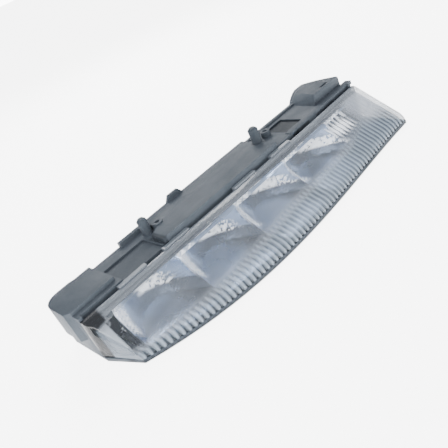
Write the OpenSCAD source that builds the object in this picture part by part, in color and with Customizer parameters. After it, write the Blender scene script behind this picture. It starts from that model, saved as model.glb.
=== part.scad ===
// Daytime running light with a clear fluted lens over five reflector bowls.
// The lamp lies as it is fitted: +Z up, -Y forward, +X along its length.
// Inside the modules x = 0 is the first bowl's outer ridge, y = 0 the seam's
// ends and z = 0 the seam. placed() moves all of it to the left peg's foot.

/* [Bowls] */
// Width of one bowl, ridge to ridge
cell_pitch = 48; // [44:0.5:50]
// Number of bowls
cell_count = 5; // [5:1:5]
// Focal length of the bowls
bowl_focus = 5.2; // [4.8:0.1:5.8]
// Height of the bowls' axis, where the board lies on them
bowl_axis_z = -5; // [-5.4:0.1:-4.9]
// How far the bowls' vertex lies behind the seam
bowl_vertex_y = 22; // [21:0.5:23]
// Thickness of the reflector's wall
reflector_wall = 1.6; // [1.2:0.1:2]

/* [Lens] */
// Height from the floor to the seam
lens_height = 27; // [26:0.5:29]
// Thickness of the lens
lens_wall = 2.2; // [2:0.1:2.4]
// Radius of the rounded nose
nose_radius = 9; // [8:0.5:10]
// How far the seam bows forward at mid-length
seam_bow = 1.6; // [0:0.2:2.4]
// Number of flutes along the nose
flute_count = 68; // [40:1:72]
// Depth of a flute
flute_depth = 0.8; // [0.3:0.1:1]
// Width of a locking tongue
tongue_w = 20; // [14:1:26]

/* [Housing] */
// Wall of the housing
housing_wall = 2.5; // [2:0.1:3]
// Distance from the seam to the back face
housing_back_y = 36.5; // [36:0.5:40]
// Height of the deck over the seam
deck_z = 2; // [1.6:0.1:3]
// Height of the raised plate over the seam
plate_z = 5; // [4.5:0.1:6]
// Thickness of the floor
floor_t = 2.2; // [2:0.1:2.6]
// Width of the seam channel
channel_w = 5; // [4.6:0.1:5.6]
// Depth of the seam channel under the seam
channel_depth = 3.6; // [3.2:0.1:3.6]

/* [Pegs and bosses] */
// Diameter of the left peg
left_peg_d = 6.2; // [5:0.1:7]
// Height of the left peg's head over the plate
left_peg_h = 11; // [8:0.5:14]
// Diameter of the right peg
right_peg_d = 7; // [6:0.1:8]
// Height of the right peg's head over the deck
right_peg_h = 14; // [10:0.5:18]
// Diameter of the screw holes in the bosses
boss_hole_d = 3.2; // [2.5:0.1:3.6]
// Outer diameter of the bosses
boss_d = 7; // [6.5:0.1:8]

/* [Electrics] */
// Thickness of the boards
board_t = 1.6; // [1:0.1:1.6]
// Thickness of the thermal pad
pad_t = 0.5; // [0.5:0.1:0.8]
// Thickness of the heat sink's sheet
sink_t = 1.5; // [1:0.1:2]
// Side of a light-emitting diode
led_side = 5; // [3:0.1:5.5]
// Width of the connector's cavity
socket_w = 14; // [12:0.5:16]
// Height of the connector's cavity
socket_h = 7; // [6.5:0.5:8]
// How far the connector stands out of the back
socket_out = 10.5; // [9:0.5:12]

/* [Hidden] */
$fn = 48;

// Length of the row of bowls and height of the floor's underside
row_l = cell_pitch * cell_count;
floor_z = -lens_height;
floor_top = floor_z + floor_t;

// The lens's left and right ends, at the seam and at the nose
left_seam_x = -15.5;
left_nose_x = -6.5;
right_seam_x = row_l - 3;
right_nose_x = row_l - 9;

// How far the nose lies in front of the seam: four depths of a smooth cubic curve
nose_depths = [24, 62, 40, 38];

// Places of the pegs, bosses and tongues along and across the lamp
left_peg_x = 51.7;
left_peg_y = 25.7;
right_peg_x = 150.5;
right_peg_y = 20;
left_boss = [59, 22.8];
right_boss = [163.5, 24];
tongue_xs = [21, 54, 114, 150];

function lerp(a, b, t) = a + (b - a) * t;
function cubic(p, t) =
    pow(1 - t, 3) * p[0] + 3 * pow(1 - t, 2) * t * p[1] + 3 * (1 - t) * t * t * p[2] + t * t * t * p[3];
function nose_y(t) = -cubic(nose_depths, t);
function seam_y(x) = seam_bow * (pow(2 * x / row_l - 1, 2) - 1);

// Section of the lens at share t of its length, drawn inset by d from the outer face.
// It is the tangent from the seam to the nose's arc, then that arc down to the floor.
slope_steps = 5;
arc_steps = 5;
function nose_centre(t) = [nose_y(t) + nose_radius, floor_z];
function slope_angle(t, s) =
    let (c = nose_centre(t), dy = s - c[0], dz = -c[1])
    atan2(dz, dy) - asin(nose_radius / norm([dy, dz]));
function section(t, d, top_y, ns = slope_steps, na = arc_steps) =
    let (
        c = nose_centre(t),
        s = seam_y(lerp(left_seam_x, right_seam_x, t)),
        a = slope_angle(t, s),
        r = nose_radius - d,
        tangent = c + r * [-sin(a), cos(a)],
        top = tangent + (top_y - tangent[0]) / cos(a) * [cos(a), sin(a)]
    )
    concat(
        [for (i = [0:ns]) lerp(top, tangent, i / ns)],
        [for (i = [1:na]) let (b = lerp(a, acos(floor_t / r), i / na)) c + r * [-sin(b), cos(b)]]
    );
function left_end_x(y) = lerp(left_seam_x, left_nose_x, min(1, max(0, -y / nose_depths[0])));
function right_end_x(y) = lerp(right_seam_x, right_nose_x, min(1, max(0, -y / nose_depths[3])));

// How much of a flute shows at point i of the section: all of it round the nose,
// and over the last bowl up the slope as well
flute_rise_start = 0.78;
flute_rise_end = 0.88;
function flute_share(i, t) =
    let (rise = min(1, max(0, (t - flute_rise_start) / (flute_rise_end - flute_rise_start))))
    i >= slope_steps ? 1 : (i > (1 - rise) * slope_steps && i > 0) ? 1 : 0;

// Each flute is a crest that ends at flute_marks[1] and a groove whose bottom is at flute_marks[2]
flute_marks = [0, 0.6, 0.8];
function flute_station(k) = (floor(k / 3) + flute_marks[k % 3]) / flute_count;
function flute_cut(k) = k % 3 == 2 ? flute_depth : 0;

// A solid swept through sections of the lens, fluted or in plain even steps. Its top runs
// on behind the seam at shelf_z for back millimetres, and it is closed down to base_z.
module swept_wedge(fluted, inset, end_inset, back, shelf_z, base_z, ns = slope_steps, na = arc_steps,
        part = [0, 1], plain_steps = 16) {
    steps = fluted ? 3 * flute_count : plain_steps;
    last_point = ns + na;
    rings = [for (k = [0:steps])
        let (
            t = fluted ? flute_station(k) : lerp(part[0], part[1], k / steps),
            s = seam_y(lerp(left_seam_x, right_seam_x, t)),
            plain = section(t, inset, s, ns, na),
            cut = section(t, inset + (fluted ? flute_cut(k) : 0), s, ns, na),
            face = [for (i = [0:last_point]) lerp(plain[i], cut[i], flute_share(i, t))],
            full = concat(
                [[s + back, base_z], [s + back, shelf_z], [s + rim_gap, shelf_z]],
                face,
                [[face[last_point][0], base_z]]
            )
        )
        [for (p = full)
            [lerp(left_end_x(p[0]) + end_inset, right_end_x(p[0]) - end_inset, t), p[0], p[1]]]
    ];
    n = len(rings[0]);
    polyhedron(
        points = [for (r = rings) for (p = r) p],
        faces = concat(
            [[for (i = [0:n - 1]) i]],
            [for (k = [0:steps - 1]) for (i = [0:n - 1]) let (j = (i + 1) % n)
                [k * n + i, (k + 1) * n + i, (k + 1) * n + j, k * n + j]],
            [[for (i = [n - 1:-1:0]) steps * n + i]]
        ),
        convexity = 6
    );
}

// Outline in plan between two lines that follow the seam, front and back millimetres behind it
strip_steps = 12;
module seam_strip(x0, x1, front, back, z0, z1) {
    xs = [for (i = [0:strip_steps]) lerp(x0, x1, i / strip_steps)];
    translate([0, 0, z0]) linear_extrude(z1 - z0) polygon(concat(
        [for (x = xs) [x, seam_y(x) + front]],
        [for (i = [strip_steps:-1:0]) [xs[i], seam_y(xs[i]) + back]]
    ));
}

module box(x0, x1, y0, y1, z0, z1) {
    translate([x0, y0, z0]) cube([x1 - x0, y1 - y0, z1 - z0]);
}

// Lens rim: a leg behind the seam that stands in the housing's channel
rim_gap = 0.3;
rim_t = 2.2;
rim_back = rim_gap + rim_t;
seal_t = 0.4;
rim_foot_z = -channel_depth + seal_t;
body_front_y = rim_back + 0.6;
room_gap = 1;

module lens() {
    color("gainsboro", 0.5) {
        difference() {
            swept_wedge(true, 0, 0, rim_back, 0, floor_top);
            swept_wedge(false, lens_wall, lens_wall, rim_back + 1, rim_foot_z, floor_top - 1);
        }
        for (x = tongue_xs) tongue(x);
    }
}

// Locking tongue: a tab that reaches from the rim across the channel
tongue_t = 2.4;
tongue_top = 1.2;
module tongue(x) {
    y = seam_y(x);
    box(x - tongue_w / 2, x + tongue_w / 2, y + rim_back - 0.5, y + channel_w - 0.3,
        tongue_top - tongue_t, tongue_top);
}

module lens_seal() {
    color("dimgray")
        seam_strip(left_seam_x + lens_wall, right_seam_x - lens_wall - 0.5, rim_gap, rim_back, -channel_depth,
            rim_foot_z);
}

// Bowls: half paraboloids of revolution about an axis that points forward
bowl_steps = 12;
bowl_reach = 54;
function bowl_x(i) = (i - 0.5) * cell_pitch;
module paraboloid(grow) {
    rmax = 2 * sqrt(bowl_focus * bowl_reach);
    rotate([90, 0, 0]) rotate_extrude($fn = 72) polygon(concat(
        [for (i = [0:bowl_steps]) let (r = rmax * i / bowl_steps)
            [r + (i == 0 ? 0 : grow * r / norm([r, 2 * bowl_focus])),
             r * r / (4 * bowl_focus) - grow * 2 * bowl_focus / norm([r, 2 * bowl_focus])]],
        [[0, bowl_reach + 0.01]]
    ));
}
// How far back a bowl reaches at height z, wall included
function bowl_back_y(z) = bowl_vertex_y + reflector_wall
    - pow(max(0, bowl_axis_z - z - reflector_wall), 2) / (4 * bowl_focus);
module at_bowl(i) {
    translate([bowl_x(i), bowl_vertex_y, bowl_axis_z]) children();
}

apron_gap = 0.3;
apron_bottom = floor_top + apron_gap;
apron_top = apron_bottom + 1.2;
apron_back_y = 9;
flank_w = 1.8;
strip_front = -7;
strip_back = -1.8;
strip_drop = 0.7;
strip_top = bowl_axis_z + 1;
lug_y = 27;
lug_w = 9;
lug_t = 1.5;
screw_xs = [for (i = [1:cell_count - 1]) i * cell_pitch];
screw_d = 3;
screw_head_d = 5.6;
screw_head_t = 1.8;

// The last bowl ends short of its ridge, inside the lens's end wall
reflector_end_trim = row_l - (right_nose_x - lens_wall - room_gap);
flange_y0 = 5;
flange_y1 = bowl_vertex_y + 3;
flange_drop = 1.5;
function bowl_x0(i) = (i - 1) * cell_pitch - (i == 1 ? flank_w : 0);
function bowl_x1(i) = i * cell_pitch - (i == cell_count ? reflector_end_trim : 0);
module bowl(i) {
    x0 = bowl_x0(i);
    x1 = bowl_x1(i);
    difference() {
        union() {
            intersection() {
                at_bowl(i) paraboloid(reflector_wall);
                box(x0, x1, -60, flange_y1 + 5, apron_bottom, bowl_axis_z);
            }
            box(x0, x1, -60, apron_back_y, apron_bottom, apron_top);
            box(x0, x1, flange_y0, flange_y1, bowl_axis_z - flange_drop, bowl_axis_z);
        }
        intersection() {
            at_bowl(i) paraboloid(0);
            box(bowl_x(i) - cell_pitch / 2, bowl_x(i) + cell_pitch / 2, -70, flange_y1, apron_top,
                bowl_axis_z + 2);
        }
    }
}
// Room inside the lens around one bowl, in two straight steps. Around the first bowl it is
// two straight prisms, each with the section that the lens has at the prism's outer side.
room_margin = 0.04;
room_inset = lens_wall + room_gap;
room_shelf_z = bowl_axis_z + 2.2;
first_room_xs = [-3, 10, cell_pitch + 1];
first_room_ts = [0.015, 0.06];
module first_room(k) {
    t = first_room_ts[k];
    s = seam_y(lerp(left_seam_x, right_seam_x, t));
    face = section(t, room_inset, s, 1, 3);
    translate([first_room_xs[k], 0, 0]) rotate([90, 0, 90])
        linear_extrude(first_room_xs[k + 1] - first_room_xs[k]) polygon(concat(
            [[s + 40, floor_top - 1], [s + 40, room_shelf_z], [s + rim_gap, room_shelf_z]],
            face,
            [[face[len(face) - 1][0], floor_top - 1]]
        ));
}
module lens_room(i) {
    if (i == 1) {
        first_room(0);
        first_room(1);
    } else {
        swept_wedge(false, room_inset, room_inset, 40, room_shelf_z, floor_top - 1, 1, 3,
            [(i - 1) / cell_count - room_margin, i / cell_count + room_margin], 2);
    }
}
// The first bowl's apron follows the nose in plan
apron_steps = 4;
module first_apron() {
    xs = [for (k = [0:apron_steps]) lerp(bowl_x0(1), bowl_x1(1), k / apron_steps)];
    translate([0, 0, apron_bottom]) linear_extrude(apron_top - apron_bottom) polygon(concat(
        [[bowl_x1(1), apron_back_y], [bowl_x0(1), apron_back_y]],
        [for (x = xs)
            [x, nose_y((x - left_nose_x) / (right_nose_x - left_nose_x)) + room_inset + 1.2]]
    ));
}
module reflector() {
    color("silver") difference() {
        union() {
            for (i = [1:cell_count]) intersection() {
                union() {
                    bowl(i);
                    if (i > 1) seam_strip(bowl_x0(i), bowl_x1(i), strip_front, strip_back,
                        bowl_axis_z - strip_drop, strip_top);
                }
                lens_room(i);
            }
            first_apron();
            for (x = screw_xs)
                box(x - lug_w / 2, x + lug_w / 2, flange_y1 - 2, lug_y + lug_w / 2 - 0.5,
                    bowl_axis_z - lug_t, bowl_axis_z);
        }
        for (x = screw_xs) translate([x, lug_y, bowl_axis_z - lug_t - 1])
            cylinder(d = screw_d + 0.4, h = lug_t + 2);
    }
}

// Board stack over the bowls
stack_x0 = 4;
stack_x1 = row_l - 8;
stack_y0 = 9;
stack_y1 = 31;
board_top = bowl_axis_z + board_t;
pad_top = board_top + pad_t;
sink_top = pad_top + sink_t;
module stack_holes() {
    for (x = screw_xs) translate([x, lug_y, bowl_axis_z - 1]) cylinder(d = screw_d + 0.4, h = 10);
}
module led_board() {
    color("darkgreen") difference() {
        box(stack_x0, stack_x1, stack_y0, stack_y1, bowl_axis_z, board_top);
        stack_holes();
    }
}
led_t = 1.4;
module led(i) {
    color("khaki") translate([bowl_x(i), bowl_vertex_y - bowl_focus, bowl_axis_z - led_t]) {
        translate([-led_side / 2, -led_side / 2, led_t / 2]) cube([led_side, led_side, led_t / 2]);
        cylinder(d1 = led_side * 0.4, d2 = led_side * 0.7, h = led_t / 2);
    }
}
module thermal_pad() {
    color("lightsteelblue") difference() {
        box(stack_x0, stack_x1, stack_y0, stack_y1, board_top, pad_top);
        stack_holes();
    }
}
// Folded aluminium plate with low ribs along it
sink_rib_h = 0.7;
sink_rib_ys = [12, 15, 18, 21];
module heat_sink() {
    color("lightgray") difference() {
        union() {
            box(stack_x0, stack_x1, stack_y0, stack_y1, pad_top, sink_top);
            for (y = sink_rib_ys) box(stack_x0 + 6, stack_x1 - 6, y, y + 1.2, sink_top, sink_top + sink_rib_h);
        }
        stack_holes();
    }
}
screw_tip_z = deck_z - 1.2;
module reflector_screws() {
    color("gray") for (x = screw_xs) translate([x, lug_y, bowl_axis_z - lug_t]) {
        cylinder(d = screw_d, h = screw_tip_z - bowl_axis_z + lug_t);
        translate([0, 0, -screw_head_t]) difference() {
            cylinder(d = screw_head_d, h = screw_head_t);
            for (a = [0, 90]) rotate([0, 0, a]) translate([-1.5, -0.35, -0.5]) cube([3, 0.7, 1.4]);
        }
    }
}

// Driver board on the floor behind the bowls
driver_x0 = 60;
driver_x1 = 130;
driver_y1 = 33;
standoff_h = 3;
standoff_d = 4.5;
stake_d = 2;
driver_z = floor_top + standoff_h;
driver_top = driver_z + board_t;
driver_gap = 2.3;
driver_y0 = bowl_back_y(driver_top) + driver_gap;
stakes = [for (x = [driver_x0 + 3.5, driver_x1 - 3.5]) for (y = [driver_y0 + 3, driver_y1 - 3]) [x, y]];
module driver_board() {
    color("darkgreen") difference() {
        box(driver_x0, driver_x1, driver_y0, driver_y1, driver_z, driver_top);
        for (s = stakes) translate([s[0], s[1], driver_z - 1]) cylinder(d = stake_d + 0.4, h = board_t + 2);
    }
}
module driver_chip() {
    color("black") box(108, 114, driver_y0 + 2.5, driver_y0 + 8.5, driver_top, driver_top + 1.4);
}
module driver_diode() {
    color("black") box(92, 97, driver_y0 + 2.5, driver_y0 + 6.5, driver_top, driver_top + 2);
}
module driver_coil() {
    color("dimgray") translate([71, 28.5, driver_top]) {
        cylinder(d = 8, h = 1);
        cylinder(d = 5, h = 7);
        translate([0, 0, 6]) cylinder(d = 8, h = 1);
    }
}
module driver_capacitor(x) {
    color("silver") translate([x, 29, driver_top]) cylinder(d = 6.3, h = 7.7);
}
lead_x0 = 116;
lead_y = 29.6;
module board_lead() {
    color("orange") box(lead_x0, lead_x0 + 7, lead_y, lead_y + 0.6, driver_top, bowl_axis_z);
}

// Connector through the back wall
socket_x = 102;
socket_wall = 1.6;
flange_w = 1.8;
flange_t = 2;
socket_seal_t = 0.6;
back_inner_y = housing_back_y - housing_wall;
flange_y = back_inner_y - socket_seal_t;
half_w = socket_w / 2 + socket_wall;
half_h = socket_h / 2 + socket_wall;
socket_gap = 1.3;
socket_z = driver_top + socket_gap + half_h + flange_w;
mouth_y = housing_back_y + socket_out;
module connector_socket() {
    color("dimgray") difference() {
        union() {
            box(socket_x - half_w, socket_x + half_w, flange_y - flange_t, mouth_y, socket_z - half_h,
                socket_z + half_h);
            box(socket_x - half_w - flange_w, socket_x + half_w + flange_w, flange_y - flange_t, flange_y,
                socket_z - half_h - flange_w, socket_z + half_h + flange_w);
            box(socket_x - 3, socket_x + 3, mouth_y - 5, mouth_y - 2, socket_z + half_h,
                socket_z + half_h + 1.2);
        }
        box(socket_x - socket_w / 2, socket_x + socket_w / 2, back_inner_y, mouth_y + 1,
            socket_z - socket_h / 2, socket_z + socket_h / 2);
        for (i = [-1:1]) pin_bar(i, 0.02, flange_y - flange_t - 1, back_inner_y + 1);
    }
}
module connector_seal() {
    color("black") difference() {
        box(socket_x - half_w - flange_w, socket_x + half_w + flange_w, flange_y, back_inner_y,
            socket_z - half_h - flange_w, socket_z + half_h + flange_w);
        box(socket_x - half_w - 0.1, socket_x + half_w + 0.1, flange_y - 1, back_inner_y + 1,
            socket_z - half_h - 0.1, socket_z + half_h + 0.1);
    }
}
pin_pitch = 4;
pin_side = 0.8;
pin_foot_y = 28.5;
pin_tip_y = back_inner_y + 6;
module pin_bar(i, grow, y0, y1) {
    x = socket_x + i * pin_pitch;
    h = pin_side / 2 + grow;
    box(x - h, x + h, y0, y1, socket_z - h, socket_z + h);
}
module connector_pin(i) {
    x = socket_x + i * pin_pitch;
    color("gold") {
        pin_bar(i, 0, pin_foot_y, pin_tip_y);
        box(x - pin_side / 2, x + pin_side / 2, pin_foot_y, pin_foot_y + pin_side, driver_top,
            socket_z + pin_side / 2);
    }
}

// Breathing cap on a short spout at the back
vent_x = 182;
vent_z = -12;
vent_hole_d = 5;
vent_spout_d = 8;
vent_out = 3;
module vent_cap() {
    color("black") translate([vent_x, housing_back_y, vent_z]) rotate([-90, 0, 0]) difference() {
        translate([0, 0, 0.4]) cylinder(d = vent_spout_d + 3.4, h = vent_out + 1.6);
        translate([0, 0, -0.1]) cylinder(d = vent_spout_d + 0.1, h = vent_out + 0.1);
        for (a = [0:60:300]) rotate([0, 0, a]) translate([vent_spout_d / 2 + 0.9, 0, -1])
            cylinder(d = 1, h = 3);
    }
}

// Housing
ear_left_x = -18.5;
ear_right_edge = 14;
ear_front_y = 9;
ear_back_y = housing_back_y + 1;
ear_bottom = -14.5;
ear_top = 4.5;
ear_r = 10;
module left_ear() {
    translate([0, 0, ear_bottom]) linear_extrude(ear_top - ear_bottom) polygon(concat(
        [[ear_right_edge, ear_front_y], [ear_left_x + 3, ear_front_y], [ear_left_x, ear_front_y + 3]],
        [for (b = [0:10:90])
            [ear_left_x + ear_r * (1 - cos(b)), ear_back_y - ear_r * (1 - sin(b))]],
        [[0, ear_back_y], [3, housing_back_y], [ear_right_edge, housing_back_y]]
    ));
}
// Right ear: a round back that falls towards the front
right_ear_x = 222;
right_ear_r = 18;
right_ear_top = 9;
right_ear_tilt = 13;
right_ear_front = 12;
right_ear_back = housing_back_y + 2;
module right_ear() {
    intersection() {
        translate([right_ear_x, right_ear_back, right_ear_top - right_ear_r]) rotate([90 - right_ear_tilt, 0, 0])
            translate([0, 0, -20]) cylinder(r = right_ear_r, h = 60);
        box(right_ear_x - 20, right_ear_x + 15, right_ear_front, right_ear_back, deck_z - 1, right_ear_top);
    }
    box(right_ear_x - 10, right_ear_x + 10, housing_back_y - 1, right_ear_back, ear_bottom, deck_z - 0.5);
}
// Floor: a tray under the lens and the body, its front edge under the nose
module floor_plate() {
    translate([0, 0, floor_z]) linear_extrude(floor_t) polygon(concat(
        [for (k = [0:24]) let (t = k / 24, y = nose_y(t)) [lerp(left_end_x(y), right_end_x(y), t), y]],
        [[right_seam_x, 0], [right_seam_x, housing_back_y], [left_seam_x, housing_back_y], [left_seam_x, 0]]
    ));
}
plate_outline = [[48, 0], [48, 15], [56, 20], [56, housing_back_y], [151, housing_back_y], [151, 0]];
module raised_plate() {
    intersection() {
        translate([0, 0, deck_z]) linear_extrude(plate_z - deck_z) polygon(plate_outline);
        seam_strip(40, 160, channel_w, 60, deck_z, plate_z);
    }
}
tab_outline = [[77, plate_z], [80, plate_z + 3.8], [88, plate_z + 3.8], [91, plate_z]];
flange_end_x = 241;
module housing_body() {
    floor_plate();
    box(left_seam_x, left_seam_x + housing_wall, body_front_y, housing_back_y, floor_z, deck_z);
    box(right_seam_x - housing_wall, right_seam_x, body_front_y, housing_back_y, floor_z, deck_z);
    box(left_seam_x, right_seam_x, back_inner_y, housing_back_y, floor_z, deck_z);
    intersection() {
        box(left_seam_x, right_seam_x, 0, housing_back_y, deck_z - housing_wall, deck_z);
        seam_strip(left_seam_x, right_seam_x, channel_w, 60, deck_z - housing_wall, deck_z);
    }
    seam_strip(left_seam_x, right_seam_x, channel_w, channel_w + channel_wall, channel_bottom, deck_z);
    seam_strip(left_seam_x + lens_wall + 1.6, right_seam_x - lens_wall - 0.5, lip_front,
        channel_w + channel_wall, channel_bottom, -channel_depth);
    raised_plate();
    box(36, 57, housing_back_y - 3.5, housing_back_y, deck_z, plate_z);
    box(151, 208, housing_back_y - 3, housing_back_y, deck_z, deck_z + 1.3);
    translate([0, housing_back_y, 0]) rotate([90, 0, 0]) linear_extrude(2.2) polygon(tab_outline);
    seam_strip(166, flange_end_x, channel_w, channel_w + 5, 0, deck_z + 0.6);
    left_ear();
    right_ear();
}
channel_wall = 1.2;
channel_bottom = -channel_depth - channel_wall;
lip_front = -0.8;
module peg(x, y, d, z0, top) {
    translate([x, y, z0]) {
        cylinder(d = d, h = top - z0 - d / 5);
        translate([0, 0, top - z0 - d / 5]) cylinder(d1 = d, d2 = d * 0.6, h = d / 5);
    }
}
boss_top = plate_z + 1;
module boss(c) {
    translate([c[0], c[1], deck_z - 1]) cylinder(d = boss_d, h = boss_top - deck_z + 1);
}
boss_hole_depth = 6;
collar_w = 1.2;
// Shallow pocket, dark recess and slot in the top: x from, x to, y from, y to, depth
pocket = [16, 46, 4, 25, 1.4];
recess = [168, 186, 9, 30, 1.4];
slot = [219, 227, 13.5, 16, 1.4];
module sunk(p, top) {
    box(p[0], p[1], p[2], p[3], deck_z - p[4], top + 1);
}
module housing() {
    color("slategray") difference() {
        union() {
            difference() {
                housing_body();
                inner_room();
            }
            peg(left_peg_x, left_peg_y, left_peg_d, deck_z - 1, deck_z + left_peg_h);
            peg(right_peg_x, right_peg_y, right_peg_d, deck_z - 1, deck_z + right_peg_h);
            translate([right_peg_x, right_peg_y, deck_z - 1])
                cylinder(d = right_peg_d + 2 * collar_w, h = plate_z - deck_z + 1);
            boss(left_boss);
            boss(right_boss);
            for (x = screw_xs) translate([x, lug_y, sink_top])
                cylinder(d = 8, h = ceiling_z(x) + 0.5 - sink_top);
            for (s = stakes) translate([s[0], s[1], floor_top - 1]) {
                cylinder(d = standoff_d, h = standoff_h + 1);
                cylinder(d = stake_d, h = standoff_h + 1 + board_t + 0.8);
            }
            translate([vent_x, housing_back_y - 1, vent_z]) rotate([-90, 0, 0])
                cylinder(d = vent_spout_d, h = vent_out + 1);
        }
        for (c = [left_boss, right_boss]) translate([c[0], c[1], boss_top - boss_hole_depth])
            cylinder(d = boss_hole_d, h = boss_hole_depth + 1);
        for (x = screw_xs) translate([x, lug_y, sink_top - 1])
            cylinder(d = screw_d, h = screw_tip_z + 0.2 - sink_top + 1);
        box(socket_x - half_w - 0.2, socket_x + half_w + 0.2, back_inner_y - 1, housing_back_y + 1,
            socket_z - half_h - 0.2, socket_z + half_h + 0.2);
        translate([vent_x, back_inner_y - 1, vent_z]) rotate([-90, 0, 0])
            cylinder(d = vent_hole_d, h = housing_wall + vent_out + 2);
        sunk(pocket, ear_top);
        sunk(recess, plate_z);
        sunk(slot, right_ear_top);
    }
}
module inner_room() {
    x0 = left_seam_x + housing_wall;
    x1 = right_seam_x - housing_wall;
    box(x0, x1, body_front_y + 5.5, back_inner_y, floor_top, deck_z - housing_wall);
    box(x0, x1, -60, back_inner_y, floor_top, channel_bottom);
    box(hollow_x0, hollow_x1, 12, back_inner_y - 1, floor_top, plate_z - housing_wall);
}
// The raised plate is hollow between these two walls
hollow_x0 = 60;
hollow_x1 = 147;
function ceiling_z(x) = x > hollow_x0 && x < hollow_x1 ? plate_z - housing_wall : deck_z - housing_wall;

// Moves the lamp so that the left peg's foot is the origin
module placed() {
    translate([-left_peg_x, -left_peg_y, -deck_z]) children();
}

placed() housing();
placed() lens();
placed() lens_seal();
placed() reflector();
placed() reflector_screws();
placed() led_board();
for (i = [1:cell_count]) placed() led(i);
placed() thermal_pad();
placed() heat_sink();
placed() driver_board();
placed() driver_chip();
placed() driver_coil();
placed() driver_capacitor(79.5);  // driver_capacitor_1
placed() driver_capacitor(87);  // driver_capacitor_2
placed() driver_diode();
placed() board_lead();
placed() connector_socket();
placed() connector_seal();
for (i = [1:3]) placed() connector_pin(i - 2);
placed() vent_cap();
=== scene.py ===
# Daytime running light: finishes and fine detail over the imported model
import math

import bpy
from mathutils import Matrix, Vector


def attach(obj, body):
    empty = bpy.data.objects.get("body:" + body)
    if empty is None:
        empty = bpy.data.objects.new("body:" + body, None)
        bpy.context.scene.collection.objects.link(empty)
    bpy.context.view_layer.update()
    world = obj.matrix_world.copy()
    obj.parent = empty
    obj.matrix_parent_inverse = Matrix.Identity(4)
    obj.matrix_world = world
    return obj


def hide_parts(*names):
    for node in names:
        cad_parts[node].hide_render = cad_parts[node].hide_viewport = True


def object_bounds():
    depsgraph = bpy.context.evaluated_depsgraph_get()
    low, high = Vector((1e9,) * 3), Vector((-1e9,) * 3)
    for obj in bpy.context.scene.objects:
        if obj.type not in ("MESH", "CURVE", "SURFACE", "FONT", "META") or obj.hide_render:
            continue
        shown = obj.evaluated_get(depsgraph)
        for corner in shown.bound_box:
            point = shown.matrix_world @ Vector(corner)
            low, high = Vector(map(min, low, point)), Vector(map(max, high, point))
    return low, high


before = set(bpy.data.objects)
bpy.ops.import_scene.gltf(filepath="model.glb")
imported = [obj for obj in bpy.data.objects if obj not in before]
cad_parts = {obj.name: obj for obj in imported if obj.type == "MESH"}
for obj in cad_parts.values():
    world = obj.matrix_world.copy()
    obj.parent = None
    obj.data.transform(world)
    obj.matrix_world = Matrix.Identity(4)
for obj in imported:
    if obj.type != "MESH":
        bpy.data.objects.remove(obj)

MM = 0.001
TURN = 2.0 * math.pi
CAD_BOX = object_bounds()

# The lamp's own frame is in millimetres. It starts at the seam, in line with the first bowl's left
# ridge, and X runs to the right, Y to the back and Z up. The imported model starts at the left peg's
# foot instead, which is here in the lamp's own frame.
LEFT_PEG = Vector((51.7, 25.7, 2.0))


def spot(x, y, z):
    """A place of the lamp's own frame, in metres from the left peg's foot."""
    return (Vector((x, y, z)) - LEFT_PEG) * MM


# Node trees written as arithmetic


class Value:
    """A number on a node's socket, which the usual operators work on."""

    def __init__(self, finish, socket):
        self.finish = finish
        self.socket = socket

    def maths(self, operation, first, second=0.0):
        return self.finish.node("ShaderNodeMath", {"operation": operation}, {0: first, 1: second})

    def __add__(self, other):
        return self.maths("ADD", self, other)

    __radd__ = __add__

    def __sub__(self, other):
        return self.maths("SUBTRACT", self, other)

    def __rsub__(self, other):
        return self.maths("SUBTRACT", other, self)

    def __mul__(self, other):
        return self.maths("MULTIPLY", self, other)

    __rmul__ = __mul__

    def __truediv__(self, other):
        return self.maths("DIVIDE", self, other)

    def __pow__(self, other):
        return self.maths("POWER", self, other)

    def __lt__(self, other):
        return self.maths("LESS_THAN", self, other)

    def sine(self):
        return self.maths("SINE", self)

    def size(self):
        return self.maths("ABSOLUTE", self)

    def fraction(self):
        return self.maths("FRACT", self)

    def at_most(self, other):
        return self.maths("MINIMUM", self, other)

    def at_least(self, other):
        return self.maths("MAXIMUM", self, other)

    def ramp(self, start, end):
        """0 up to start and 1 from end on, smooth between them. End may be the smaller one."""
        return self.finish.node("ShaderNodeMapRange", {"interpolation_type": "SMOOTHSTEP", "clamp": True}, {
            "Value": self, "From Min": start, "From Max": end, "To Min": 0.0, "To Max": 1.0})


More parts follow.
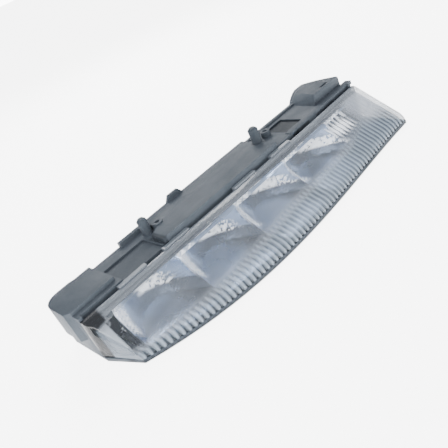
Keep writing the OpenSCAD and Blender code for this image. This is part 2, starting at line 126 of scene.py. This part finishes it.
class Finish:
    """A material that is being put together from its nodes."""

    def __init__(self, name, **constants):
        self.material = bpy.data.materials.new(name)
        self.material.use_nodes = True
        self.tree = self.material.node_tree
        self.shader = self.tree.nodes["Principled BSDF"]
        for socket, value in constants.items():
            self.shader.inputs[socket.replace("_", " ")].default_value = value

    def feed(self, target, value):
        """Links a Value to a socket, or sets a plain number or colour on it."""
        if isinstance(value, Value):
            self.tree.links.new(value.socket, target)
        else:
            target.default_value = value

    def node(self, kind, settings, inputs, output=0):
        """A new node with its settings and inputs, given back as the Value of one output."""
        made = self.tree.nodes.new(kind)
        for key, value in settings.items():
            setattr(made, key, value)
        for key, value in inputs.items():
            self.feed(made.inputs[key], value)
        return Value(self, made.outputs[output])

    def place(self):
        return self.node("ShaderNodeTexCoord", {}, {}, "Object")

    def axes(self):
        """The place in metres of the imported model, as three numbers."""
        split = self.node("ShaderNodeSeparateXYZ", {}, {0: self.place()})
        outputs = split.socket.node.outputs
        return [Value(self, outputs[axis]) for axis in range(3)]

    def lamp_axes(self):
        """The place in millimetres of the lamp's own frame: along, across and up."""
        return [axis / MM + start for axis, start in zip(self.axes(), LEFT_PEG)]

    def noise(self, scale, detail=3.0, roughness=0.5, stretch=None):
        """Noise of so many lumps a metre, and of that many times stretch along X, Y and Z."""
        place = self.place()
        if stretch:
            place = self.node("ShaderNodeMapping", {}, {"Vector": place, "Scale": stretch})
        return self.node("ShaderNodeTexNoise", {}, {
            "Vector": place, "Scale": scale, "Detail": detail, "Roughness": roughness}, "Fac")

    def between(self, low, high, noise):
        """Low to high, as the noise goes over the middle of its range."""
        return self.node("ShaderNodeMapRange", {"clamp": True}, {
            "Value": noise, "From Min": 0.3, "From Max": 0.7, "To Min": low, "To Max": high})

    def mix(self, share, first, second):
        return self.node("ShaderNodeMix", {"data_type": "RGBA"}, {0: share, 6: first, 7: second}, 2)

    def paint(self, ground, *coats):
        """Colours laid over a ground one after another, each as far as its mask says."""
        for mask, colour in coats:
            ground = self.mix(mask, ground, colour)
        return ground

    def colour(self, value):
        self.feed(self.shader.inputs["Base Color"], value)

    def gloss(self, value):
        self.feed(self.shader.inputs["Roughness"], value)

    def cover(self, value):
        self.feed(self.shader.inputs["Alpha"], value)

    def shine(self, value):
        self.feed(self.shader.inputs["Emission Color"], value)

    def metal_share(self, value):
        self.feed(self.shader.inputs["Metallic"], value)

    def relief(self, height, depth, strength):
        bump = self.node("ShaderNodeBump", {}, {"Height": height, "Distance": depth, "Strength": strength},
                         "Normal")
        self.feed(self.shader.inputs["Normal"], bump)


def rgb(red, green, blue):
    return (red, green, blue, 1.0)


BLACK = rgb(0.0, 0.0, 0.0)


# Finishes

# A pair of numbers says where a shade starts and where it is full, in millimetres of the lamp's own
# frame. Where its name has REACH or EDGE, it counts from the form that the name gives.

# The housing: its deck, and the painted shade in the pockets sunk in it, in the recess beyond the right peg,
# at the raised plate's left end, round the right peg, and in dark dashes on the lip under the lens
DECK_Y = (33.5, 32.0)
DECK_X = (-14.0, -12.0)
SUNK_Z = (1.9, 0.8)
SUNK_FLOOR_Z = (-9.0, -5.0)
RECESS_X = 177.0
RECESS_REACH = (9.6, 9.0)
RECESS_Z = (1.8, 1.0)
PLATE_END_X = 48.6
PLATE_END_REACH = (2.6, 1.2)
PLATE_END_Y = (21.0, 17.0)
PLATE_END_Z = (0.2, 0.8)
RIGHT_PEG = (150.5, 20.0)
PEG_REACH = (5.2, 4.6)
PEG_Z = (2.2, 5.0)
LIP_Y = (-13.0, -16.0)
LIP_Z = (-24.9, -25.3)
LIP_PITCH = 3.5


def housing_plastic():
    """Grey moulded plastic, with painted shade in its hollows and in dashes along its lower lip."""
    finish = Finish("housing_plastic", Metallic=0.0, Specular_IOR_Level=0.10)
    blotch = finish.noise(60.0, detail=4.0, roughness=0.6)
    grain = finish.noise(1900.0, roughness=0.6)
    flow = finish.noise(90.0, stretch=(0.25, 1.0, 1.0))
    along, across, up = finish.lamp_axes()

    deck = across.ramp(*DECK_Y) * along.ramp(*DECK_X)
    sunk = up.ramp(*SUNK_Z) * up.ramp(*SUNK_FLOOR_Z) * deck
    plate_end = (along - PLATE_END_X).size().ramp(*PLATE_END_REACH)
    plate_end = plate_end * across.ramp(*PLATE_END_Y) * up.ramp(*PLATE_END_Z)
    recess = (along - RECESS_X).size().ramp(*RECESS_REACH) * up.ramp(*RECESS_Z) * deck
    peg_gap = ((along - RIGHT_PEG[0]) ** 2.0 + (across - RIGHT_PEG[1]) ** 2.0) ** 0.5
    peg = peg_gap.ramp(*PEG_REACH) * up.ramp(*PEG_Z)
    teeth = (along * (TURN / LIP_PITCH)).sine().ramp(-0.5, 0.3)
    lip = across.ramp(*LIP_Y) * up.ramp(*LIP_Z) * (teeth * 0.45 + 0.5)
    # Painted shade: in the pockets, the recess, at the plate's left end, round the right peg and in dashes
    # on the lip
    dark = (sunk * 0.25 + plate_end * 0.75 + recess * 0.8 + peg * 0.3 + lip).at_most(0.9)

    finish.colour(finish.paint(
        rgb(0.037, 0.046, 0.057),
        (finish.between(0.0, 1.0, blotch), rgb(0.057, 0.068, 0.082)),
        (finish.between(0.0, 0.3, grain), rgb(0.088, 0.100, 0.115)),
        (dark, rgb(0.016, 0.020, 0.025))))
    finish.gloss(finish.between(0.50, 0.64, flow))
    finish.relief(grain * 0.7 + blotch * 0.3, 0.12 * MM, 0.6)
    return finish.material


# The lens's two end walls lean inwards: X at the seam, X at the nose, and the depth of that stretch
LEFT_WALL = (-15.5, -6.5, 24.0)
RIGHT_WALL = (237.0, 231.0, 38.0)

# Its ribs: how many, how far the first groove is from the left wall in ribs, and their upper edge,
# which rises from the left, runs level along the middle and rises again at the right
RIBS = 68
FIRST_GROOVE = 0.8
RIB_LEFT = (7.0, -20.0)
RIB_RISE_LEFT = 0.05
RIB_MIDDLE_Z = -14.8
RIB_RIGHT_X = 180.0
RIB_RISE_RIGHT = 0.12
RIB_EDGE = (-1.0, 1.8)

# The rest of the lens: the left wall, the hazy far end, the clear window, pane and dark corner at the left,
# what lies behind the seam in painted shade, the band before it, the ribs' feet in painted shade and the
# painted glints at the right
END_WALL_REACH = (1.2, 0.3)
FAR_END_REACH = (36.0, 14.0)
FAR_END_Z = (-17.0, -11.0)
WINDOW_X = (4.0, 0.0)
WINDOW_EDGE = (1.0, 1.6)
PANE_X = (-6.8, -7.8)
PANE_Z = (-1.6, -2.8)
CORNER_X = (-4.0, -6.5)
CORNER_Y = (-6.5, -4.5)
BEHIND_Y = (0.0, 0.4)
BAND_Y = (-4.2, -3.4)
FOOT_Z = (-22.6, -24.2)
RIGHT_GLINT = (193.5, -8.6)
RIGHT_GLINT_REACH_X = (13.5, 6.0)
RIGHT_GLINT_REACH_Z = (4.2, 1.0)


def leaning_wall(across, seam_x, nose_x, depth):
    """Where an end wall is at this distance in front of the seam."""
    lean = (across / -depth).at_least(0.0).at_most(1.0)
    return lean * (nose_x - seam_x) + seam_x


def lens_clear():
    """Clear plastic with grey ribs round its nose in painted light and shade, painted shade behind the seam,
    a painted highlight at the right, and the few other places that look hazy or dark.
    """
    finish = Finish("lens_clear", Metallic=0.0, IOR=1.5, Specular_IOR_Level=0.5, Emission_Strength=1.0)
    haze = finish.noise(45.0, detail=4.0, roughness=0.6)
    along, across, up = finish.lamp_axes()
    left = leaning_wall(across, *LEFT_WALL)
    right = leaning_wall(across, *RIGHT_WALL)

    share = (along - left) / (right - left)
    wave = ((share * RIBS - FIRST_GROOVE) * TURN + TURN / 4.0).sine() * 0.5 + 0.5
    left_rise = ((along - RIB_LEFT[0]) * RIB_RISE_LEFT).at_least(0.0)
    right_rise = (along - RIB_RIGHT_X).at_least(0.0) * RIB_RISE_RIGHT
    rib_top = (left_rise + RIB_LEFT[1]).at_most(RIB_MIDDLE_Z) + right_rise
    ribbed = (rib_top - up).ramp(*RIB_EDGE)
    # The ribs' light and dark stripes are painted light and shade, and their feet are painted shade
    rib_light_and_shade = finish.mix(wave, rgb(0.34, 0.41, 0.49), rgb(0.036, 0.050, 0.066))
    rib_foot_shade = up.ramp(*FOOT_Z) * ribbed * wave

    end_wall = (along - left).ramp(*END_WALL_REACH)
    far_end = (right - along).ramp(*FAR_END_REACH) * up.ramp(*FAR_END_Z)
    window = along.ramp(*WINDOW_X) * (along - left).ramp(*WINDOW_EDGE)
    pane = along.ramp(*PANE_X) * up.ramp(*PANE_Z)
    corner = along.ramp(*CORNER_X) * across.ramp(*CORNER_Y)
    # Painted shade on the lens behind the seam
    painted_shade_behind = across.ramp(*BEHIND_Y)
    band = across.ramp(*BAND_Y)
    # A painted highlight on the ribs at the right
    painted_glint = (along - RIGHT_GLINT[0]).size().ramp(*RIGHT_GLINT_REACH_X)
    painted_glint = painted_glint * (up - RIGHT_GLINT[1]).size().ramp(*RIGHT_GLINT_REACH_Z) * wave.ramp(0.70, 0.25)

    finish.colour(finish.paint(
        rgb(0.50, 0.55, 0.62),
        (haze, rgb(0.62, 0.67, 0.74)),
        (ribbed, rib_light_and_shade),
        (rib_foot_shade, rgb(0.03, 0.04, 0.05)),
        (far_end, rgb(0.43, 0.47, 0.54)),
        (pane, rgb(0.42, 0.47, 0.53)),
        (end_wall, rgb(0.20, 0.24, 0.29)),
        (band, rgb(0.27, 0.30, 0.34)),
        (painted_shade_behind, rgb(0.13, 0.15, 0.175)),
        (corner, rgb(0.012, 0.014, 0.017)),
        (painted_glint, rgb(0.90, 0.94, 1.0))))
    cover = finish.between(0.06, 0.10, haze) * (1.0 - window * 0.7) + ribbed * 0.50
    for mask, haziness in ((far_end, 0.58), (painted_glint, 0.8), (end_wall, 0.42), (band, 0.42), (pane, 0.5),
                           (corner, 0.8), (painted_shade_behind, 0.9)):
        cover = cover.at_least(mask * haziness)
    finish.cover(cover)
    # The painted highlight at the right also glows
    finish.shine(finish.mix(painted_glint, BLACK, rgb(0.55, 0.58, 0.62)))
    finish.gloss(finish.between(0.06, 0.11, haze) + ribbed * 0.36 + painted_shade_behind * 0.25)
    finish.relief(finish.noise(260.0, detail=2.0), 0.05 * MM, 0.3)
    return finish.material


# The reflector: its bowls, and the pillows pressed into them, in radians a millimetre
BOWL_PITCH = 48.0
LAST_BOWL_X = 4.0 * BOWL_PITCH
PILLOW_TURN = 2.1

# The painted glints on the bowls, as shares of a bowl: the first one's place, how much later each next one
# comes and how far it reaches. Their height and the last bowl's painted stripes are in millimetres
GLINT_PLACE = 0.66
GLINT_STEP = 0.06
GLINT_REACH = (0.24, 0.12)
GLINT_FOOT_Z = (-19.2, -17.8)
GLINT_TOP_Z = (-12.2, -13.6)
STRIPE_PITCH = 3.7

# The bowls' left walls, bright with painted light, as shares of a bowl: how wide the first is, how much
# wider each next one is, how much narrower they get a millimetre below the bend, and how soft their edge is
WALL_PLACE = 0.24
WALL_STEP = 0.04
WALL_TAPER = 0.012
WALL_BEND_Z = -14.0
WALL_EDGE = (0.0, -0.12)
WALL_START_X = (-0.4, 0.3)
WALL_FOOT_Z = (-27.0, -24.0)

# The ridges' painted highlight, counted from a bowl's middle, and the right walls' painted shade, both as
# shares of a bowl, then the back of the bowls, and the moulding's left flank with its foot, painted with a
# dark reflection
RIDGE_REACH = (0.480, 0.494)
SHADE_SHARE = (0.62, 0.84)
REAR_Y = (-14.5, -8.5)
SHADE_Z = (-16.9, -17.9)
FLANK_X = (-0.3, -0.9)
FLANK_FOOT_X = (2.6, 1.6)
FLANK_FOOT_Z = (-22.3, -23.0)


def reflector_metal():
    """Bright metal coating on the bowls, with the glints of a lit room and bright walls and ridges painted
    on it as glowing light, painted shade on the right walls and a dark painted reflection on the left flank.
    """
    finish = Finish("reflector_metal", Emission_Strength=1.3)
    tint = finish.noise(30.0)
    along, across, up = finish.lamp_axes()
    place = (along / BOWL_PITCH).fraction()
    bowl = along / BOWL_PITCH - place
    last_bowl = along.ramp(LAST_BOWL_X - 0.3, LAST_BOWL_X + 0.3)
    first_bowls = 1.0 - last_bowl
    pillows = (along * PILLOW_TURN).sine() * ((across + up) * PILLOW_TURN).sine()
    speck = finish.noise(520.0, roughness=0.7, stretch=(0.6, 1.0, 1.0))

    offset = place - (bowl * GLINT_STEP + GLINT_PLACE)
    sparkle = (speck - offset.at_least(0.0) * 0.7).ramp(0.36, 0.46)
    stripes = (along * (TURN / STRIPE_PITCH)).sine().ramp(-0.2, 0.5)
    # Painted highlights: a lit room's glints in the bowls and stripes in the last one
    painted_glints = offset.size().ramp(*GLINT_REACH) * first_bowls * sparkle + last_bowl * stripes * 0.8
    painted_glints = up.ramp(*GLINT_FOOT_Z) * up.ramp(*GLINT_TOP_Z) * painted_glints

    # Painted light on the bowls' left walls and ridges
    wall_edge = (up - WALL_BEND_Z).at_most(0.0) * WALL_TAPER + bowl * WALL_STEP + WALL_PLACE
    left_wall_light = (place - wall_edge).ramp(*WALL_EDGE) * along.ramp(*WALL_START_X) * up.ramp(*WALL_FOOT_Z)
    ripple = (speck + pillows * 0.12).ramp(0.40, 0.60)
    ridge_highlight = (place - 0.5).size().ramp(*RIDGE_REACH)
    wall_light = (left_wall_light * (ripple * 0.65 + 0.2)).at_least(ridge_highlight * 0.35)
    wall_light = wall_light * (across.ramp(*REAR_Y) * 0.93 + 0.07)
    painted_light = painted_glints.at_least(wall_light).at_most(1.0)

    # Painted shade on the bowls' right walls
    right_wall_shade = place.ramp(*SHADE_SHARE) * up.ramp(*SHADE_Z) * first_bowls
    # The left flank: a painted dark reflection with painted bright streaks
    flank_foot = along.ramp(*FLANK_FOOT_X) * up.ramp(*FLANK_FOOT_Z)
    flank_reflection = along.ramp(*FLANK_X).at_least(flank_foot)
    flank_streak_highlight = finish.noise(170.0, roughness=0.6, stretch=(1.0, 1.6, 0.6)).ramp(0.56, 0.66)

    finish.colour(finish.paint(
        rgb(0.29, 0.38, 0.55),
        (finish.between(0.0, 1.0, tint), rgb(0.39, 0.49, 0.68)),
        (right_wall_shade * 0.85, rgb(0.024, 0.032, 0.046)),
        (painted_light, rgb(0.93, 0.95, 0.98)),
        (flank_reflection, finish.mix(flank_streak_highlight, rgb(0.030, 0.036, 0.045), rgb(0.50, 0.54, 0.60)))))
    # Where light is painted, the coating is less metallic and glows
    finish.metal_share(0.92 - painted_light * 0.85)
    finish.shine(finish.mix(painted_light * (1.0 - flank_reflection), BLACK, rgb(0.90, 0.95, 1.0)))
    finish.gloss(finish.between(0.24, 0.36, tint))
    finish.relief(pillows, 0.06 * MM, 0.4)
    return finish.material


def sealant():
    """Dark, lumpy bead in the seam."""
    finish = Finish("sealant", Metallic=0.0)
    lump = finish.noise(700.0, roughness=0.6)
    finish.colour(finish.mix(lump, rgb(0.02, 0.022, 0.025), rgb(0.05, 0.052, 0.056)))
    finish.gloss(finish.between(0.35, 0.6, lump))
    finish.relief(lump, 0.2 * MM, 0.8)
    return finish.material


# The boards' tracks lie where two waves cancel out: their turns along and across in radians a metre,
# and the sum that still counts as nothing
TRACK_TURNS = (900.0, 1300.0)
TRACK_SUM = 0.18


def solder_mask(name, mask_colour, track_colour):
    """A lacquered board: its tracks, and the weave of its glass cloth."""
    finish = Finish(name, Metallic=0.0, Coat_Weight=0.3)
    along, across = finish.axes()[:2]
    tracks = ((along * TRACK_TURNS[0]).sine() + (across * TRACK_TURNS[1]).sine()).size() < TRACK_SUM
    weave = finish.noise(2600.0, detail=2.0)
    finish.colour(finish.paint(
        mask_colour,
        (tracks, track_colour),
        (weave * 0.25, rgb(0.5, 0.5, 0.48))))
    finish.gloss(finish.between(0.3, 0.45, weave))
    finish.relief(tracks + weave * 0.2, 0.04 * MM, 0.7)
    return finish.material


# Below this height an LED is its yellow emitter
EMITTER_Z = spot(0.0, 0.0, -5.75).z


def led_package():
    """White LED package with a yellow emitter on its lower face."""
    finish = Finish("led_package", Metallic=0.0)
    speck = finish.noise(3000.0, detail=2.0)
    up = finish.axes()[2]
    finish.colour(finish.paint(
        rgb(0.82, 0.82, 0.80),
        (speck * 0.3, rgb(0.70, 0.70, 0.68)),
        (up < EMITTER_Z, rgb(0.95, 0.74, 0.12))))
    finish.gloss(finish.between(0.25, 0.4, speck))
    finish.relief(speck, 0.02 * MM, 0.5)
    return finish.material


def metal(name, dark, light, roughness, stretch):
    """Bare metal, brushed along the axis that has the smallest number in stretch."""
    finish = Finish(name, Metallic=1.0)
    brush = finish.noise(500.0, roughness=0.6, stretch=stretch)
    finish.colour(finish.mix(brush, dark, light))
    finish.gloss(finish.between(*roughness, brush))
    finish.relief(brush, 0.02 * MM, 0.5)
    return finish.material


def moulded(name, dark, light, roughness):
    """Plastic or rubber with a fine moulded grain."""
    finish = Finish(name, Metallic=0.0)
    grain = finish.noise(1500.0, roughness=0.6)
    finish.colour(finish.mix(grain, dark, light))
    finish.gloss(finish.between(*roughness, grain))
    finish.relief(grain, 0.08 * MM, 0.5)
    return finish.material


# Pieces

# Points closer than the first are merged, faces that meet flatter than the second are joined, and
# edges sharper than the third are rounded
WELD = 0.002 * MM
FLAT_ANGLE = math.radians(0.4)
EDGE_ANGLE = math.radians(40.0)


def select_only(piece=None):
    bpy.ops.object.select_all(action="DESELECT")
    if piece:
        piece.select_set(True)
        bpy.context.view_layer.objects.active = piece


def coat(piece, material):
    piece.data.materials.clear()
    piece.data.materials.append(material)


def round_edges(piece, width):
    bevel = piece.modifiers.new("edge", "BEVEL")
    bevel.width = width
    bevel.segments = 2
    bevel.limit_method = "ANGLE"
    bevel.angle_limit = EDGE_ANGLE
    bevel.use_clamp_overlap = True
    bpy.ops.object.modifier_apply(modifier="edge")


def moulding(node, material, smooth_angle, edge=0.0):
    """The CAD solid again as one welded mesh, smooth where it is round, in its own finish."""
    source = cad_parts[node]
    piece = source.copy()
    piece.data = source.data.copy()
    piece.name = node + "_moulding"
    bpy.context.scene.collection.objects.link(piece)
    select_only(piece)
    bpy.ops.object.mode_set(mode="EDIT")
    bpy.ops.mesh.select_all(action="SELECT")
    bpy.ops.mesh.remove_doubles(threshold=WELD)
    bpy.ops.mesh.dissolve_limited(angle_limit=FLAT_ANGLE)
    bpy.ops.object.mode_set(mode="OBJECT")
    if edge:
        round_edges(piece, edge)
    bpy.ops.object.shade_smooth_by_angle(angle=math.radians(smooth_angle))
    coat(piece, material)
    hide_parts(node)
    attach(piece, "root")


def carry(nodes, material):
    """A finish for CAD nodes that keep their own mesh."""
    for node in nodes:
        coat(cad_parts[node], material)


def numbered(name, count):
    return [f"{name}_{number}" for number in range(1, count + 1)]


moulding("housing", housing_plastic(), smooth_angle=35.0, edge=0.35 * MM)
moulding("lens", lens_clear(), smooth_angle=30.0)
moulding("reflector", reflector_metal(), smooth_angle=30.0)

carry(["lens_seal"], sealant())
carry(["led_board"], solder_mask("board_white", rgb(0.80, 0.81, 0.79), rgb(0.66, 0.67, 0.64)))
carry(numbered("led", 5), led_package())
carry(["thermal_pad"], moulded("pad_grey", rgb(0.34, 0.38, 0.43), rgb(0.42, 0.46, 0.51), (0.7, 0.9)))
carry(["heat_sink"], metal("sink_aluminium", rgb(0.62, 0.63, 0.65), rgb(0.76, 0.77, 0.79), (0.3, 0.45),
                           stretch=(0.05, 1.0, 1.0)))
carry(["reflector_screws"], metal("screw_zinc", rgb(0.52, 0.53, 0.55), rgb(0.68, 0.69, 0.70), (0.25, 0.4),
                                  stretch=(1.0, 1.0, 0.2)))
carry(["driver_board"], solder_mask("board_green", rgb(0.015, 0.12, 0.055), rgb(0.03, 0.19, 0.08)))
carry(["driver_chip"], moulded("chip_black", rgb(0.016, 0.016, 0.018), rgb(0.03, 0.03, 0.033), (0.45, 0.6)))
carry(["driver_diode"], moulded("diode_black", rgb(0.02, 0.02, 0.022), rgb(0.035, 0.035, 0.038),
                                (0.4, 0.55)))
carry(["driver_coil"], moulded("coil_ferrite", rgb(0.05, 0.048, 0.047), rgb(0.085, 0.08, 0.078), (0.6, 0.8)))
carry(numbered("driver_capacitor", 2), metal("can_aluminium", rgb(0.66, 0.67, 0.69), rgb(0.78, 0.79, 0.81),
                                             (0.22, 0.35), stretch=(1.0, 1.0, 0.1)))
carry(["board_lead"], moulded("lead_amber", rgb(0.55, 0.21, 0.03), rgb(0.66, 0.27, 0.05), (0.3, 0.42)))
carry(["connector_socket"], moulded("socket_plastic", rgb(0.035, 0.038, 0.042), rgb(0.055, 0.058, 0.063),
                                    (0.4, 0.52)))
carry(["connector_seal"], moulded("seal_rubber", rgb(0.012, 0.012, 0.012), rgb(0.024, 0.024, 0.024),
                                  (0.6, 0.8)))
carry(numbered("connector_pin", 3), metal("pin_brass", rgb(0.68, 0.52, 0.22), rgb(0.83, 0.68, 0.36),
                                          (0.2, 0.32), stretch=(1.0, 0.1, 1.0)))
carry(["vent_cap"], moulded("vent_rubber", rgb(0.016, 0.016, 0.018), rgb(0.03, 0.03, 0.032), (0.6, 0.8)))


# Floor, light and camera

# The floor lies just under the lamp. It is so wide that the wall round it is too far off to light it
FLOOR_Z = CAD_BOX[0][2] - 0.2 * MM
FLOOR_SIDE = 200.0
WALL_RADIUS = 0.48 * FLOOR_SIDE
WALL_HEIGHT = 3.0
WALL_SIDES = 96


def pale(sheet, name):
    sheet.name = name
    finish = Finish(name + "_pale", Metallic=0.0, Emission_Color=rgb(1.0, 1.0, 1.0), Emission_Strength=5.5)
    finish.colour(rgb(0.94, 0.94, 0.94))
    finish.gloss(0.9)
    coat(sheet, finish.material)


def floor():
    """The floor, and a round wall near its edge that hides the horizon."""
    select_only()
    bpy.ops.mesh.primitive_plane_add(size=FLOOR_SIDE, location=(0.0, 0.0, FLOOR_Z))
    pale(bpy.context.object, "floor")
    select_only()
    bpy.ops.mesh.primitive_cylinder_add(vertices=WALL_SIDES, radius=WALL_RADIUS, depth=WALL_HEIGHT,
                                        end_fill_type="NOTHING",
                                        location=(0.0, 0.0, FLOOR_Z + WALL_HEIGHT / 2.0))
    pale(bpy.context.object, "backdrop")


CAMERA_PLACE = spot(-71.7, -246.0, 142.7)
CAMERA_TARGET = spot(73.2, -20.0, 0.2)
CAMERA_ROLL = math.radians(-25.56)
CAMERA_LENS = 44.48
CAMERA_SENSOR = 36.0


def turn_to(place, target):
    """The turn that points a lamp or camera at this place to the target."""
    return (Vector(target) - Vector(place)).to_track_quat("-Z", "Y")


def softbox(name, place, side, watts):
    select_only()
    bpy.ops.object.light_add(type="AREA", location=place)
    lamp = bpy.context.object
    lamp.name = name
    lamp.data.shape = "SQUARE"
    lamp.data.size = side
    lamp.data.energy = watts
    lamp.rotation_euler = turn_to(place, CAMERA_TARGET).to_euler()


def daylight(strength):
    world = bpy.data.worlds.new("studio")
    bpy.context.scene.world = world
    world.use_nodes = True
    background = world.node_tree.nodes["Background"]
    background.inputs["Color"].default_value = rgb(0.95, 0.97, 1.0)
    background.inputs["Strength"].default_value = strength


def camera():
    select_only()
    bpy.ops.object.camera_add(location=CAMERA_PLACE)
    eye = bpy.context.object
    eye.name = "camera"
    eye.data.lens = CAMERA_LENS
    eye.data.sensor_width = CAMERA_SENSOR
    eye.data.clip_start = 10.0 * MM
    eye.data.clip_end = 2.0 * FLOOR_SIDE
    aim = turn_to(CAMERA_PLACE, CAMERA_TARGET).to_matrix().to_4x4()
    eye.rotation_euler = (aim @ Matrix.Rotation(CAMERA_ROLL, 4, "Z")).to_euler()
    bpy.context.scene.camera = eye


floor()
softbox("key", (-0.45, -0.35, 0.75), side=0.5, watts=7.0)
softbox("rim", (0.45, 0.55, 0.55), side=0.4, watts=8.0)
daylight(1.0)
camera()
